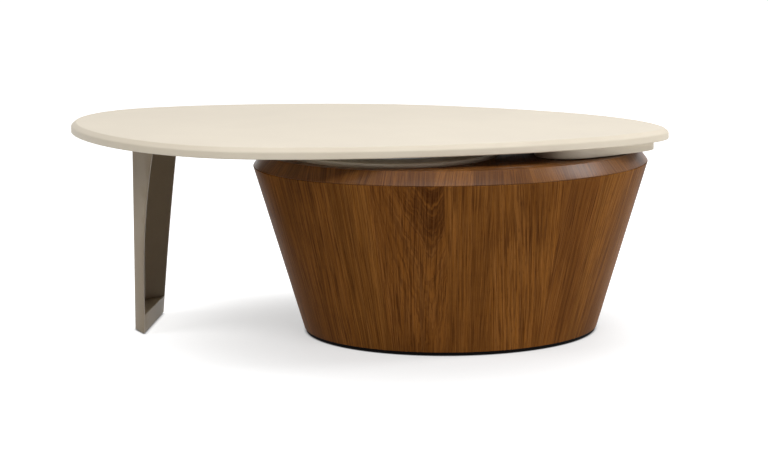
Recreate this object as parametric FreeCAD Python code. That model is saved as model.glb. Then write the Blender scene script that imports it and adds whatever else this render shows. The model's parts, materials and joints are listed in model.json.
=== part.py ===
import FreeCAD, Part
import math
import os

# Swivel coffee table: an egg-shaped lacquered top that turns on a tapered oval drum and carries one folded leg.
# Millimetres, +Z up. The origin is on the floor under the middle of the top as it stands at rest. +X runs along
# the top, towards the narrow end of the egg.

# Top panel
TABLE_HEIGHT = 411.0
TOP_LENGTH = 1203.0
TOP_WIDTH = 698.0
TOP_THICKNESS = 22.0
TOP_BEVEL_RISE = 8.0
TOP_BEVEL_RUN = 9.0
TOP_UNDER_BEVEL = 1.5
TOP_BITE_SHARE = 0.6
# Egg outline, counter-clockwise from the narrow end: shares of the top's length and width from its middle
TOP_OUTLINE_SHARES = (
    (0.500, 0.005), (0.462, 0.140), (0.385, 0.268), (0.235, 0.405), (0.040, 0.494), (-0.165, 0.486),
    (-0.335, 0.417), (-0.455, 0.292), (-0.500, 0.090), (-0.466, -0.128), (-0.372, -0.340), (-0.225, -0.482),
    (-0.040, -0.484), (0.180, -0.396), (0.360, -0.262), (0.465, -0.128),
)

# Drum, turned under the top
DRUM_TURN = 21.0
DRUM_MIDDLE_X = 172.5
DRUM_MIDDLE_Y = -3.0
DRUM_LENGTH = 804.0
DRUM_DEPTH = 652.0
BASE_LENGTH = 597.0
BASE_DEPTH = 534.0
DRUM_WALL = 18.0
RIM_HEIGHT = 26.0
RIM_BEVEL_RUN = 20.0
RIM_WIDTH = 50.0
LEDGE_WIDTH = 20.0
LEDGE_HEIGHT = 6.0
FLOOR_THICKNESS = 18.0
PLINTH_HEIGHT = 6.0
PLINTH_SETBACK = 3.0
PLINTH_WIDTH = 60.0
BASE_GLIDE_HEIGHT = 1.0
BASE_GLIDE_DIAMETER = 30.0
BASE_FIXING_COUNT = 6
RIB_THICKNESS = 18.0
RIB_CLEARANCE = 40.0
RIB_PITCH = 190.0
DOWEL_DIAMETER = 8.0
DOWEL_INSET_SHARE = 0.65
DOWEL_IN_RIM = 8.0
DOWEL_IN_WALL = 12.0
DOWEL_COUNT = 12
DECK_SCREW_COUNT = 10

# Swivel, placed from the drum's end and across its middle
PIVOT_END_INSET = 267.0
PIVOT_ACROSS = -25.0
SWIVEL_RANGE = 90.0
DISC_DIAMETER = 420.0
DISC_THICKNESS = 9.0
DISC_EDGE_ROUND = 2.0
DISC_SCREW_INSET = 40.0
DISC_SCREW_COUNT = 4
DISC_SCREW_START = 20.0
DISC_SCREW_BITE = 6.0
BEARING_HEIGHT = 15.0
RACE_DIAMETER = 260.0
RACE_WIDTH = 36.0
RACE_GAP = 4.6
RACE_INNER_FLANGE = 12.0
RACE_SCREW_COUNT = 8
RACE_SCREW_INSET = 6.0
ACCESS_HOLE_DIAMETER = 14.0
ACCESS_HOLE_ANGLE = 90.0
BALL_DIAMETER = 9.0
BALL_COUNT = 24
CAGE_WIDTH = 20.0
CAGE_THICKNESS = 2.6
PIVOT_BLOCK_SIDE = 120.0
PIVOT_BLOCK_HEIGHT = 50.0
SPINDLE_DIAMETER = 16.0
SPINDLE_TAIL = 4.0
FLANGE_DIAMETER = 96.0
FLANGE_THICKNESS = 5.0
FLANGE_SCREW_INSET = 12.0
FLANGE_SCREW_COUNT = 4
EAR_WIDTH = 16.0
STUD_DIAMETER = 8.0
STUD_CLEARANCE = 5.0
STUD_HEAD_GAP = 1.0
STOP_GAP = 1.0
BUSH_WALL = 4.0
BUSH_COLLAR_WIDTH = 6.0
BUSH_COLLAR_HEIGHT = 3.0
WASHER_WIDTH = 12.0
WASHER_THICKNESS = 3.0
NUT_SIDES = 6
NUT_WALL = 4.0
NUT_HEIGHT = 10.0
NUT_COLLAR_WALL = 2.0
NUT_COLLAR_HEIGHT = 3.0

# Support block under the narrow end of the top
BLOCK_WIDTH = 320.0
BLOCK_TIP_INSET = 29.0
BLOCK_DISC_GAP = 71.0
BLOCK_EDGE_ROUND = 1.5
FELT_THICKNESS = 1.5
FELT_DIAMETER = 34.0
# Half outline from the tip to the middle of the back: shares of the block's length and width
BLOCK_OUTLINE_SHARES = (
    (1.0, 0.0), (0.86, 0.185), (0.54, 0.395), (0.17, 0.5), (0.03, 0.42), (0.0, 0.25), (-0.015, 0.0),
)
BLOCK_SCREW_SHARES = ((0.16, 0.30), (0.62, 0.20))
FELT_SHARES = ((0.12, 0.0), (0.42, 0.28), (0.42, -0.28), (0.80, 0.0))

# Leg
LEG_END_INSET = 140.0
LEG_MIDDLE_Y = -5.0
LEG_SHEET = 4.0
LEG_FOLD_RADIUS = 10.0
LEG_WEB = 122.0
LEG_FOOT_WIDTH = 211.0
LEG_TOP_WIDTH = 292.0
LEG_FOOT_NEAR_DEPTH = 25.0
LEG_TOP_NEAR_DEPTH = 56.0
LEG_FOOT_FAR_DEPTH = 34.0
LEG_TOP_FAR_DEPTH = 67.0
LEG_FOOT_BOX_HEIGHT = 38.0
LEG_PLATE_THICKNESS = 5.0
LEG_BASE_PLATE_THICKNESS = 4.0
LEG_GLIDE_HEIGHT = 2.0
LEG_GLIDE_DIAMETER = 14.0
LEG_SCREW_ACROSS = 64.0
LEG_SCREW_INSET = 24.0
LEG_SCREW_FRONT_INSET = 10.0
# How the near flange and the width grow from foot to top: shares of the leg's height and of the growth.
# The far flange grows evenly.
LEG_FLARE_SHARES = ((0.0, 0.0), (0.20, 0.0), (0.43, 0.05), (0.63, 0.25), (0.82, 0.57), (1.0, 1.0))
LEG_GLIDE_SHARES = (-0.30, 0.0, 0.30)

# Screws: countersunk head, shank, and how far each bites into wood
SMALL_SCREW_HEAD = 7.0
SMALL_SCREW_SHANK = 3.5
FRAME_SCREW_HEAD = 8.0
FRAME_SCREW_SHANK = 4.0
FRAME_SCREW_BITE = 11.0
LARGE_SCREW_HEAD = 10.0
LARGE_SCREW_SHANK = 5.0
MACHINE_SCREW_HEAD = 11.0
MACHINE_SCREW_HEAD_HEIGHT = 3.3
MACHINE_SCREW_SHANK = 6.0
INSERT_DIAMETER = 10.0

# Clearances
FIT = 0.05
WELD_GAP = 0.1
RUNNING_FIT = 0.06
BALL_CLEARANCE = 0.08
BALL_POCKET_CLEARANCE = 0.2
PANEL_CLEARANCE = 0.3
SLIDING_CLEARANCE = 0.3
OVERRUN = 5.0

ORIGIN = FreeCAD.Vector(0, 0, 0)
RIGHT = FreeCAD.Vector(1, 0, 0)
FORWARD = FreeCAD.Vector(0, 1, 0)
UP = FreeCAD.Vector(0, 0, 1)
DOWN = FreeCAD.Vector(0, 0, -1)
FULL_TURN = 360.0

# Heights worked out from the sizes above
UNDERSIDE_Z = TABLE_HEIGHT - TOP_THICKNESS
DISC_TOP_Z = UNDERSIDE_Z - BEARING_HEIGHT
DRUM_HEIGHT = DISC_TOP_Z - DISC_THICKNESS
WALL_Z = BASE_GLIDE_HEIGHT + PLINTH_HEIGHT
RIM_Z = DRUM_HEIGHT - RIM_HEIGHT
LEDGE_Z = RIM_Z + LEDGE_HEIGHT
FLOOR_TOP_Z = WALL_Z + FLOOR_THICKNESS
RACE_THICKNESS = (BEARING_HEIGHT - RACE_GAP) / 2
BALL_Z = DISC_TOP_Z + BEARING_HEIGHT / 2
BLOCK_Z = DRUM_HEIGHT + SLIDING_CLEARANCE + FELT_THICKNESS
TOP_BITE = TOP_BITE_SHARE * TOP_THICKNESS
PIVOT_BLOCK_Z = LEDGE_Z - PIVOT_BLOCK_HEIGHT

# Places worked out from the sizes above
TURN = math.radians(DRUM_TURN)
DRUM_MIDDLE = FreeCAD.Vector(DRUM_MIDDLE_X, DRUM_MIDDLE_Y, 0)
PIVOT_ALONG = PIVOT_END_INSET - DRUM_LENGTH / 2
PIVOT_X = DRUM_MIDDLE_X + PIVOT_ALONG * math.cos(TURN) - PIVOT_ACROSS * math.sin(TURN)
PIVOT_Y = DRUM_MIDDLE_Y + PIVOT_ALONG * math.sin(TURN) + PIVOT_ACROSS * math.cos(TURN)
LEG_X = -TOP_LENGTH / 2 + LEG_END_INSET
BLOCK_BACK_X = PIVOT_X + DISC_DIAMETER / 2 + BLOCK_DISC_GAP
BLOCK_LENGTH = TOP_LENGTH / 2 - BLOCK_TIP_INSET - BLOCK_BACK_X
DOWEL_INSET = DOWEL_INSET_SHARE * DRUM_WALL
BASE_FIXING_INSET = PLINTH_SETBACK + PLINTH_WIDTH / 2
DISC_SCREW_RADIUS = DISC_DIAMETER / 2 - DISC_SCREW_INSET
BUSH_DIAMETER = SPINDLE_DIAMETER + 2 * BUSH_WALL
BUSH_COLLAR_DIAMETER = BUSH_DIAMETER + 2 * BUSH_COLLAR_WIDTH
WASHER_DIAMETER = SPINDLE_DIAMETER + 2 * WASHER_WIDTH
NUT_FLATS = SPINDLE_DIAMETER + 2 * NUT_WALL
NUT_COLLAR_DIAMETER = SPINDLE_DIAMETER + 2 * NUT_COLLAR_WALL
RACE_RADIUS = RACE_DIAMETER / 2
RACE_OUTER = RACE_RADIUS + RACE_WIDTH / 2
RACE_INNER = RACE_RADIUS - RACE_WIDTH / 2
UPPER_RACE_INNER = RACE_INNER - RACE_INNER_FLANGE
UPPER_SCREW_RADIUS = UPPER_RACE_INNER + RACE_INNER_FLANGE / 2
FLANGE_SCREW_RADIUS = FLANGE_DIAMETER / 2 - FLANGE_SCREW_INSET
STUD_RADIUS = FLANGE_DIAMETER / 2 + STUD_CLEARANCE + STUD_DIAMETER / 2
EAR_REACH = STUD_RADIUS + STUD_DIAMETER


# Shared helpers

def at_pivot(z):
    return FreeCAD.Vector(PIVOT_X, PIVOT_Y, z)


def placed_with_drum(shape):
    shape.rotate(ORIGIN, UP, DRUM_TURN)
    shape.translate(DRUM_MIDDLE)
    return shape


def prism(wire, height):
    return Part.Face(wire).extrude(FreeCAD.Vector(0, 0, height))


def cylinder(diameter, height, base, direction=UP):
    return Part.makeCylinder(diameter / 2, height, base, direction)


def ring(outer_radius, inner_radius, height, base):
    outer = Part.makeCylinder(outer_radius, height, base)
    hole = Part.makeCylinder(inner_radius, height + 2 * OVERRUN, base - UP * OVERRUN)
    return outer.cut(hole)


def ring_places(centre, radius, count, start=0.0):
    places = []
    for index in range(count):
        angle = math.radians(start + index * FULL_TURN / count)
        places.append(centre + FreeCAD.Vector(radius * math.cos(angle), radius * math.sin(angle), 0))
    return places


def oval_places(length, depth, z, count, start=0.0):
    places = []
    for index in range(count):
        angle = math.radians(start + index * FULL_TURN / count)
        places.append(FreeCAD.Vector(length / 2 * math.cos(angle), depth / 2 * math.sin(angle), z))
    return places


def oval_wire(length, depth, z):
    # the longer axis comes first, and the loop starts on +X whichever axis that is
    centre = FreeCAD.Vector(0, 0, z)
    if length >= depth:
        return Part.Wire(Part.Ellipse(centre, length / 2, depth / 2).toShape())
    oval = Part.Ellipse(centre + FORWARD * (depth / 2), centre - RIGHT * (length / 2), centre)
    quarter = math.pi / 2
    return Part.Wire(Part.ArcOfEllipse(oval, -quarter, 3 * quarter).toShape())


def oval_prism(length, depth, z, height):
    return prism(oval_wire(length, depth, z), height)


def smooth_loop(points):
    curve = Part.BSplineCurve()
    curve.interpolate(Points=points, PeriodicFlag=True)
    return Part.Wire(curve.toShape())


def countersunk(base, direction, head, shank, length):
    cone_height = (head - shank) / 2
    cone = Part.makeCone(head / 2, shank / 2, cone_height, base, direction)
    stem = Part.makeCylinder(shank / 2, length - cone_height, base + direction * cone_height, direction)
    return cone.fuse(stem).removeSplitter()


def countersunk_hole(base, direction, head, shank, length):
    body = countersunk(base, direction, head + 2 * FIT, shank + 2 * FIT, length + FIT)
    mouth = Part.makeCylinder(head / 2 + FIT, OVERRUN, base - direction * OVERRUN, direction)
    return body.fuse(mouth)


def group(shapes):
    return Part.makeCompound(shapes)


def edges_at(shape, z):
    found = []
    for edge in shape.Edges:
        box = edge.BoundBox
        if abs(box.ZMin - z) < FIT and abs(box.ZMax - z) < FIT:
            found.append(edge)
    return found


# Drum

def wall_size(z, inset=0.0):
    rise = (z - WALL_Z) / (RIM_Z - WALL_Z)
    length = BASE_LENGTH + rise * (DRUM_LENGTH - BASE_LENGTH) - 2 * inset
    depth = BASE_DEPTH + rise * (DRUM_DEPTH - BASE_DEPTH) - 2 * inset
    return length, depth


def drum_taper(z_low, z_high, inset=0.0):
    low = oval_wire(*wall_size(z_low, inset), z_low)
    high = oval_wire(*wall_size(z_high, inset), z_high)
    return Part.makeLoft([low, high], True, True)


DECK_LENGTH = DRUM_LENGTH - 2 * RIM_WIDTH
DECK_DEPTH = DRUM_DEPTH - 2 * RIM_WIDTH
LEDGE_LENGTH = DECK_LENGTH - 2 * LEDGE_WIDTH
LEDGE_DEPTH = DECK_DEPTH - 2 * LEDGE_WIDTH
DECK_THICKNESS = DRUM_HEIGHT - LEDGE_Z
DECK_SCREW_LENGTH = LEDGE_HEIGHT + FRAME_SCREW_BITE
PLINTH_SCREW_LENGTH = PLINTH_HEIGHT + FRAME_SCREW_BITE
DISC_SCREW_LENGTH = DECK_THICKNESS + DISC_SCREW_BITE


def dowel_places():
    span = 2 * DOWEL_INSET
    return oval_places(DRUM_LENGTH - span, DRUM_DEPTH - span, RIM_Z - DOWEL_IN_WALL, DOWEL_COUNT)


def deck_screw_places():
    return oval_places(DECK_LENGTH - LEDGE_WIDTH, DECK_DEPTH - LEDGE_WIDTH, RIM_Z, DECK_SCREW_COUNT)


def base_places(start):
    span = 2 * BASE_FIXING_INSET
    return oval_places(BASE_LENGTH - span, BASE_DEPTH - span, BASE_GLIDE_HEIGHT, BASE_FIXING_COUNT, start)


def disc_screw_places():
    centre = FreeCAD.Vector(PIVOT_ALONG, PIVOT_ACROSS, LEDGE_Z)
    return ring_places(centre, DISC_SCREW_RADIUS, DISC_SCREW_COUNT, DISC_SCREW_START)


def access_hole():
    centre = FreeCAD.Vector(PIVOT_ALONG, PIVOT_ACROSS, LEDGE_Z - OVERRUN)
    place = ring_places(centre, UPPER_SCREW_RADIUS, 1, ACCESS_HOLE_ANGLE)[0]
    return cylinder(ACCESS_HOLE_DIAMETER, DISC_TOP_Z - LEDGE_Z + 2 * OVERRUN, place)


def bush_hole(z_low, z_high):
    base = FreeCAD.Vector(PIVOT_ALONG, PIVOT_ACROSS, z_low - OVERRUN)
    return cylinder(BUSH_DIAMETER + 2 * FIT, z_high - z_low + 2 * OVERRUN, base)


def frame_screws(places, length):
    return [countersunk(place, UP, FRAME_SCREW_HEAD, FRAME_SCREW_SHANK, length) for place in places]


def frame_screw_holes(places, length):
    return [countersunk_hole(place, UP, FRAME_SCREW_HEAD, FRAME_SCREW_SHANK, length) for place in places]


def disc_screws():
    return [countersunk(place, UP, LARGE_SCREW_HEAD, LARGE_SCREW_SHANK, DISC_SCREW_LENGTH)
            for place in disc_screw_places()]


def disc_screw_holes():
    return [countersunk_hole(place, UP, LARGE_SCREW_HEAD, LARGE_SCREW_SHANK, DISC_SCREW_LENGTH)
            for place in disc_screw_places()]


def dowels(clearance=0.0):
    length = DOWEL_IN_WALL + DOWEL_IN_RIM + 2 * clearance
    return [cylinder(DOWEL_DIAMETER + 2 * clearance, length, place - UP * clearance)
            for place in dowel_places()]


def drum_wall():
    shell = drum_taper(WALL_Z, RIM_Z).cut(drum_taper(WALL_Z - OVERRUN, RIM_Z + OVERRUN, DRUM_WALL))
    return shell.cut(dowels(FIT))


def drum_rim():
    face_length = DRUM_LENGTH - 2 * RIM_BEVEL_RUN
    face_depth = DRUM_DEPTH - 2 * RIM_BEVEL_RUN
    low = oval_wire(DRUM_LENGTH, DRUM_DEPTH, RIM_Z)
    high = oval_wire(face_length, face_depth, DRUM_HEIGHT)
    body = Part.makeLoft([low, high], True, True)
    seat = oval_prism(DECK_LENGTH, DECK_DEPTH, LEDGE_Z, DECK_THICKNESS + OVERRUN)
    opening = oval_prism(LEDGE_LENGTH, LEDGE_DEPTH, RIM_Z - OVERRUN, RIM_HEIGHT)
    body = body.cut([seat, opening])
    return body.cut(dowels(FIT) + frame_screw_holes(deck_screw_places(), DECK_SCREW_LENGTH))


def drum_deck():
    gap = 2 * PANEL_CLEARANCE
    panel = oval_prism(DECK_LENGTH - gap, DECK_DEPTH - gap, LEDGE_Z, DECK_THICKNESS)
    cuts = frame_screw_holes(deck_screw_places(), DECK_SCREW_LENGTH) + disc_screw_holes()
    return panel.cut(cuts + [bush_hole(LEDGE_Z, DRUM_HEIGHT), access_hole()])


def drum_floor():
    length, depth = wall_size(WALL_Z, DRUM_WALL + PANEL_CLEARANCE)
    panel = oval_prism(length, depth, WALL_Z, FLOOR_THICKNESS)
    return panel.cut(frame_screw_holes(base_places(0), PLINTH_SCREW_LENGTH))


def plinth():
    length = BASE_LENGTH - 2 * PLINTH_SETBACK
    depth = BASE_DEPTH - 2 * PLINTH_SETBACK
    outer = oval_prism(length, depth, BASE_GLIDE_HEIGHT, PLINTH_HEIGHT)
    inner_length = length - 2 * PLINTH_WIDTH
    inner_depth = depth - 2 * PLINTH_WIDTH
    inner = oval_prism(inner_length, inner_depth, BASE_GLIDE_HEIGHT - OVERRUN, PLINTH_HEIGHT + 2 * OVERRUN)
    return outer.cut([inner] + frame_screw_holes(base_places(0), PLINTH_SCREW_LENGTH))


def base_glides():
    half_step = FULL_TURN / BASE_FIXING_COUNT / 2
    drop = UP * BASE_GLIDE_HEIGHT
    return [cylinder(BASE_GLIDE_DIAMETER, BASE_GLIDE_HEIGHT, place - drop) for place in base_places(half_step)]


def drum_rib(along):
    body = Part.makeBox(RIB_THICKNESS, DRUM_DEPTH, LEDGE_Z - FLOOR_TOP_Z)
    body.translate(FreeCAD.Vector(along - RIB_THICKNESS / 2, -DRUM_DEPTH / 2, FLOOR_TOP_Z))
    lower = drum_taper(FLOOR_TOP_Z, RIM_Z, DRUM_WALL + PANEL_CLEARANCE)
    gap = 2 * PANEL_CLEARANCE
    upper = oval_prism(LEDGE_LENGTH - gap, LEDGE_DEPTH - gap, RIM_Z, LEDGE_HEIGHT)
    return body.common(lower.fuse(upper)).removeSplitter()


def rib_places():
    first = PIVOT_ALONG - PIVOT_BLOCK_SIDE / 2 - RIB_CLEARANCE
    second = PIVOT_ALONG + PIVOT_BLOCK_SIDE / 2 + RIB_CLEARANCE
    return [first, second, second + RIB_PITCH]


def pivot_block():
    body = Part.makeBox(PIVOT_BLOCK_SIDE, PIVOT_BLOCK_SIDE, PIVOT_BLOCK_HEIGHT)
    half = PIVOT_BLOCK_SIDE / 2
    body.translate(FreeCAD.Vector(PIVOT_ALONG - half, PIVOT_ACROSS - half, PIVOT_BLOCK_Z))
    return body.cut(bush_hole(PIVOT_BLOCK_Z, LEDGE_Z))


# Swivel

def lower_screw_places():
    return ring_places(at_pivot(DISC_TOP_Z + RACE_THICKNESS), RACE_OUTER - RACE_SCREW_INSET, RACE_SCREW_COUNT)


def upper_screw_places():
    return ring_places(at_pivot(UNDERSIDE_Z - RACE_THICKNESS), UPPER_SCREW_RADIUS, RACE_SCREW_COUNT)


def flange_screw_places():
    start = FULL_TURN / FLANGE_SCREW_COUNT / 2
    return ring_places(at_pivot(UNDERSIDE_Z - FLANGE_THICKNESS), FLANGE_SCREW_RADIUS, FLANGE_SCREW_COUNT, start)


LOWER_SCREW_LENGTH = RACE_THICKNESS + DISC_SCREW_BITE
UPPER_SCREW_LENGTH = RACE_THICKNESS + TOP_BITE
FLANGE_SCREW_LENGTH = FLANGE_THICKNESS + TOP_BITE


def small_screws(places, direction, length):
    return [countersunk(place, direction, SMALL_SCREW_HEAD, SMALL_SCREW_SHANK, length) for place in places]


def small_screw_holes(places, direction, length):
    return [countersunk_hole(place, direction, SMALL_SCREW_HEAD, SMALL_SCREW_SHANK, length) for place in places]


def swivel_disc():
    body = cylinder(DISC_DIAMETER, DISC_THICKNESS, at_pivot(DRUM_HEIGHT))
    body = body.makeFillet(DISC_EDGE_ROUND, edges_at(body, DISC_TOP_Z))
    from_drum = [placed_with_drum(cut) for cut in disc_screw_holes() + [bush_hole(DRUM_HEIGHT, DISC_TOP_Z)]]
    studs = stop_studs(FIT)
    screws = small_screw_holes(lower_screw_places(), DOWN, LOWER_SCREW_LENGTH)
    return body.cut(from_drum + [placed_with_drum(access_hole())] + screws + studs)


def race_groove():
    return Part.makeTorus(RACE_RADIUS, BALL_DIAMETER / 2 + BALL_CLEARANCE, at_pivot(BALL_Z), UP)


def lower_race():
    body = ring(RACE_OUTER, RACE_INNER, RACE_THICKNESS, at_pivot(DISC_TOP_Z))
    return body.cut([race_groove()] + small_screw_holes(lower_screw_places(), DOWN, LOWER_SCREW_LENGTH))


def upper_race():
    body = ring(RACE_OUTER, UPPER_RACE_INNER, RACE_THICKNESS, at_pivot(UNDERSIDE_Z - RACE_THICKNESS))
    return body.cut([race_groove()] + small_screw_holes(upper_screw_places(), UP, UPPER_SCREW_LENGTH))


def bearing_balls():
    return [Part.makeSphere(BALL_DIAMETER / 2, place)
            for place in ring_places(at_pivot(BALL_Z), RACE_RADIUS, BALL_COUNT)]


def ball_cage():
    base_z = BALL_Z - CAGE_THICKNESS / 2
    body = ring(RACE_RADIUS + CAGE_WIDTH / 2, RACE_RADIUS - CAGE_WIDTH / 2, CAGE_THICKNESS, at_pivot(base_z))
    pocket = BALL_DIAMETER + 2 * BALL_POCKET_CLEARANCE
    places = ring_places(at_pivot(base_z - OVERRUN), RACE_RADIUS, BALL_COUNT)
    return body.cut([cylinder(pocket, CAGE_THICKNESS + 2 * OVERRUN, place) for place in places])


def stop_studs(clearance=0.0):
    reach = EAR_WIDTH / 2 + STUD_DIAMETER / 2 + STOP_GAP
    angle = SWIVEL_RANGE + math.degrees(math.asin(reach / STUD_RADIUS))
    base_z = DRUM_HEIGHT + DISC_THICKNESS / 2 - clearance
    height = UNDERSIDE_Z - STUD_HEAD_GAP - base_z
    studs = []
    for side in (-angle, angle):
        place = ring_places(at_pivot(base_z), STUD_RADIUS, 1, side)[0]
        studs.append(cylinder(STUD_DIAMETER + 2 * clearance, height, place))
    return studs


SPINDLE_END_Z = PIVOT_BLOCK_Z - 2 * WASHER_THICKNESS - SLIDING_CLEARANCE - NUT_HEIGHT - NUT_COLLAR_HEIGHT


def pivot_bush():
    sleeve = cylinder(BUSH_DIAMETER, DISC_TOP_Z - PIVOT_BLOCK_Z, at_pivot(PIVOT_BLOCK_Z))
    collar = cylinder(BUSH_COLLAR_DIAMETER, BUSH_COLLAR_HEIGHT, at_pivot(DISC_TOP_Z))
    bore_diameter = SPINDLE_DIAMETER + 2 * RUNNING_FIT
    bore_height = DISC_TOP_Z - PIVOT_BLOCK_Z + 2 * OVERRUN
    return sleeve.fuse(collar).cut(cylinder(bore_diameter, bore_height, at_pivot(PIVOT_BLOCK_Z - OVERRUN)))


def pivot_spindle():
    flange_z = UNDERSIDE_Z - FLANGE_THICKNESS
    flange = cylinder(FLANGE_DIAMETER, FLANGE_THICKNESS, at_pivot(flange_z))
    ear = Part.makeBox(EAR_REACH, EAR_WIDTH, FLANGE_THICKNESS)
    ear.translate(at_pivot(flange_z) - FreeCAD.Vector(0, EAR_WIDTH / 2, 0))
    shaft_z = SPINDLE_END_Z - SPINDLE_TAIL
    shaft = cylinder(SPINDLE_DIAMETER, flange_z - shaft_z, at_pivot(shaft_z))
    body = flange.fuse([ear, shaft]).removeSplitter()
    return body.cut(small_screw_holes(flange_screw_places(), UP, FLANGE_SCREW_LENGTH))


def washer(z, bore):
    return ring(WASHER_DIAMETER / 2, bore / 2, WASHER_THICKNESS, at_pivot(z))


def slip_washer():
    return washer(PIVOT_BLOCK_Z - WASHER_THICKNESS, SPINDLE_DIAMETER + 2 * SLIDING_CLEARANCE)


def spindle_washer():
    return washer(PIVOT_BLOCK_Z - 2 * WASHER_THICKNESS - SLIDING_CLEARANCE, SPINDLE_DIAMETER + 2 * FIT)


def lock_nut():
    nut_z = SPINDLE_END_Z + NUT_COLLAR_HEIGHT
    corner_radius = NUT_FLATS / 2 / math.cos(math.pi / NUT_SIDES)
    corners = ring_places(at_pivot(nut_z), corner_radius, NUT_SIDES)
    hexagon = prism(Part.makePolygon(corners + corners[:1]), NUT_HEIGHT)
    collar = cylinder(NUT_COLLAR_DIAMETER, NUT_COLLAR_HEIGHT, at_pivot(SPINDLE_END_Z))
    bore_height = NUT_HEIGHT + NUT_COLLAR_HEIGHT + 2 * OVERRUN
    bore = cylinder(SPINDLE_DIAMETER + 2 * FIT, bore_height, at_pivot(SPINDLE_END_Z - OVERRUN))
    return hexagon.fuse(collar).removeSplitter().cut(bore)


# Support block

def block_point(along_share, across_share, z):
    x = BLOCK_BACK_X + along_share * BLOCK_LENGTH
    return FreeCAD.Vector(x, across_share * BLOCK_WIDTH, z)


def block_outline(z):
    far = [block_point(along, across, z) for along, across in BLOCK_OUTLINE_SHARES]
    near = [block_point(along, -across, z) for along, across in reversed(BLOCK_OUTLINE_SHARES[1:-1])]
    return smooth_loop(far + near)


def block_screw_places():
    places = []
    for along, across in BLOCK_SCREW_SHARES:
        places.append(block_point(along, -across, BLOCK_Z))
        places.append(block_point(along, across, BLOCK_Z))
    return places


BLOCK_SCREW_LENGTH = UNDERSIDE_Z - BLOCK_Z + TOP_BITE


def block_screws():
    return [countersunk(place, UP, LARGE_SCREW_HEAD, LARGE_SCREW_SHANK, BLOCK_SCREW_LENGTH)
            for place in block_screw_places()]


def block_screw_holes():
    return [countersunk_hole(place, UP, LARGE_SCREW_HEAD, LARGE_SCREW_SHANK, BLOCK_SCREW_LENGTH)
            for place in block_screw_places()]


def support_block():
    body = prism(block_outline(BLOCK_Z), UNDERSIDE_Z - BLOCK_Z)
    body = body.makeFillet(BLOCK_EDGE_ROUND, edges_at(body, BLOCK_Z))
    return body.cut(block_screw_holes())


def block_felts():
    return [cylinder(FELT_DIAMETER, FELT_THICKNESS, block_point(along, across, BLOCK_Z - FELT_THICKNESS))
            for along, across in FELT_SHARES]


# Leg

def grown(foot, top, share):
    return foot + share * (top - foot)


def leg_flange(depth, half_width, inset, overhang):
    half_web = LEG_WEB / 2
    splay = half_width - half_web
    lean = math.atan2(splay, depth)
    # the inset fold lies where the inset web meets the inset flange
    fold_across = half_web - inset * (math.hypot(depth, splay) - splay) / depth
    end_along = depth + overhang
    end_across = fold_across + (end_along - inset) * math.tan(lean)
    radius = LEG_FOLD_RADIUS - inset
    turn = math.pi / 2 - lean
    setback = radius * math.tan(turn / 2)
    web_end = fold_across - setback
    flange_start = (inset + setback * math.cos(lean), fold_across + setback * math.sin(lean))
    fold_middle = (inset + radius * (1 - math.cos(turn / 2)), web_end + radius * math.sin(turn / 2))
    return (end_along, end_across), flange_start, fold_middle, (inset, web_end)


def leg_section(height_share, flare_share, inset, overhang):
    z = grown(LEG_GLIDE_HEIGHT, UNDERSIDE_Z, height_share)
    half_width = grown(LEG_FOOT_WIDTH, LEG_TOP_WIDTH, flare_share) / 2
    near_depth = grown(LEG_FOOT_NEAR_DEPTH, LEG_TOP_NEAR_DEPTH, flare_share)
    far_depth = grown(LEG_FOOT_FAR_DEPTH, LEG_TOP_FAR_DEPTH, height_share)
    near = [FreeCAD.Vector(LEG_X + along, LEG_MIDDLE_Y - across, z)
            for along, across in leg_flange(near_depth, half_width, inset, overhang)]
    far = [FreeCAD.Vector(LEG_X + along, LEG_MIDDLE_Y + across, z)
           for along, across in leg_flange(far_depth, half_width, inset, overhang)]
    return Part.Wire([
        Part.makeLine(near[0], near[1]),
        Part.Arc(near[1], near[2], near[3]).toShape(),
        Part.makeLine(near[3], far[3]),
        Part.Arc(far[3], far[2], far[1]).toShape(),
        Part.makeLine(far[1], far[0]),
        Part.makeLine(far[0], near[0]),
    ])


def leg_core(inset, overhang=0.0):
    sections = [leg_section(height_share, flare_share, inset, overhang)
                for height_share, flare_share in LEG_FLARE_SHARES]
    return Part.makeLoft(sections, True, False)


def leg_slab(z, height, inset, overhang=0.0):
    box = Part.makeBox(LEG_TOP_FAR_DEPTH, LEG_TOP_WIDTH, height)
    box.translate(FreeCAD.Vector(LEG_X, LEG_MIDDLE_Y - LEG_TOP_WIDTH / 2, z))
    return leg_core(inset, overhang).common(box)


def leg_shell():
    return leg_core(0).cut(leg_core(LEG_SHEET, OVERRUN))


def leg_foot():
    inset = LEG_SHEET + WELD_GAP
    box_height = LEG_FOOT_BOX_HEIGHT - LEG_GLIDE_HEIGHT
    body = leg_slab(LEG_GLIDE_HEIGHT, box_height, inset)
    inside = leg_core(inset - OVERRUN / 2, -LEG_SHEET)
    lid = leg_slab(LEG_FOOT_BOX_HEIGHT - LEG_SHEET, LEG_SHEET, inset)
    return body.cut(inside).fuse(lid).removeSplitter()


def leg_base_plate():
    front_inset = LEG_SHEET + PANEL_CLEARANCE
    return leg_slab(LEG_GLIDE_HEIGHT, LEG_BASE_PLATE_THICKNESS, LEG_SHEET + WELD_GAP, -front_inset)


def leg_glides():
    along = LEG_X + LEG_FOOT_NEAR_DEPTH / 2
    glides = []
    for share in LEG_GLIDE_SHARES:
        place = FreeCAD.Vector(along, LEG_MIDDLE_Y + share * LEG_WEB, 0)
        glides.append(cylinder(LEG_GLIDE_DIAMETER, LEG_GLIDE_HEIGHT, place))
    return glides


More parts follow.
